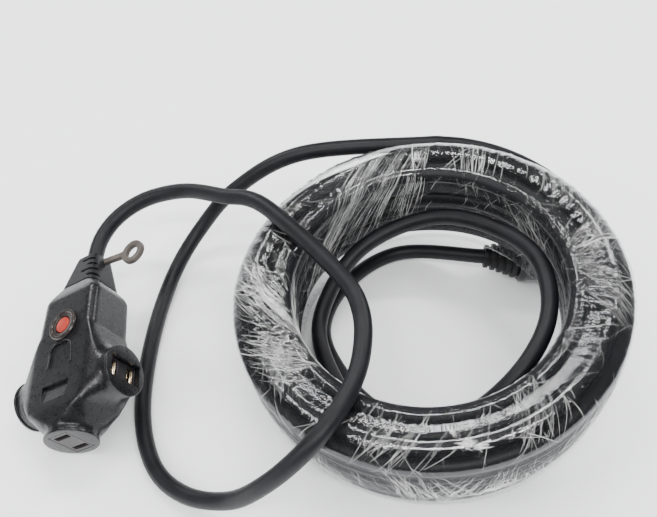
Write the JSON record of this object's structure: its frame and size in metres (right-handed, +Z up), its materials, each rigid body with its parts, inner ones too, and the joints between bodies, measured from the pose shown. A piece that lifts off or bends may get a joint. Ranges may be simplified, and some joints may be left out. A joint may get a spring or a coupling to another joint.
{
  "type": "multi-outlet power cord",
  "caption": "Power cord with a flared outlet head that has its own breaker button, a coiled and film-wrapped length of cord, and a two-blade plug.",
  "frame": {"origin": "on the floor under the middle of the outlet head, without the cord, its coil and its plug", "axes": "+Y along the outlet head towards its cord end, +Z up from the floor it lies on, +X towards the coil"},
  "size_m": [0.3484, 0.2225, 0.0925],
  "materials": {
    "jacket": "semi-gloss finely grained black PVC",
    "plate": "satin dark grey-brown",
    "insert": "satin black",
    "cord": "matte black cord jacket",
    "eyelet": "matte warm grey",
    "bezel": "dark brown-grey, slightly glossy",
    "button": "red, slightly glossy",
    "brass": "formed strip",
    "plated": "nickel-plated",
    "steel": "plain",
    "live_core": "black insulation",
    "neutral_core": "white insulation",
    "wrap": "clear glossy stretch film"
  },
  "bodies": {
    "cord_set": {"bezel_ring": "bezel", "bimetal_strip": "steel", "blade_holder": "insert", "breaker_case": "insert", "breaker_line_tab": "brass", "breaker_load_tab": "brass", "cord_coil": "cord", "cord_end": "cord", "cord_stop": "insert", "front_shell": "jacket", "hang_eyelet": "eyelet", "left_contact_carrier": "insert", "left_cover_plate": "plate", "left_live_clip": "brass", "left_neutral_clip": "brass", "link_wire": "live_core", "live_blade": "plated", "live_bus_bar": "brass", "live_core": "live_core", "lower_contact_carrier": "insert", "lower_cover_plate": "plate", "lower_live_clip": "brass", "lower_neutral_clip": "brass", "neutral_blade": "plated", "neutral_bus_bar": "brass", "neutral_core": "neutral_core", "plug_body": "jacket", "plug_cord_end": "cord", "plug_lead": "cord", "plug_strain_relief": "jacket", "rear_shell": "jacket", "reset_spring": "steel", "right_contact_carrier": "insert", "right_live_clip": "brass", "right_neutral_clip": "brass", "shell_screw_1": "steel", "shell_screw_2": "steel", "shell_screw_3": "steel", "shell_screw_4": "steel", "strain_boot": "jacket", "stretch_wrap": "wrap", "tap_lead": "cord"},
    "reset": {"reset_button": "button", "trip_plunger": "insert"},
    "contact": {"contact_arm": "brass"}
  },
  "joints": [
    {"name": "reset_slide", "type": "slide", "parent": "cord_set", "child": "reset", "axis": [-0.5082, -0.0901, 0.8565], "range_m": [0, 0.003]},
    {"name": "contact_hinge", "type": "hinge", "parent": "cord_set", "child": "contact", "pos_m": [-0.00228, -0.00389, 0.03196], "axis": [0.8586, 0.0255, 0.512], "range_deg": [0, 8]}
  ],
  "couplings": [
    {"joint": "contact_hinge", "follows": "reset_slide", "rad_per_m": 46.5}
  ]
}
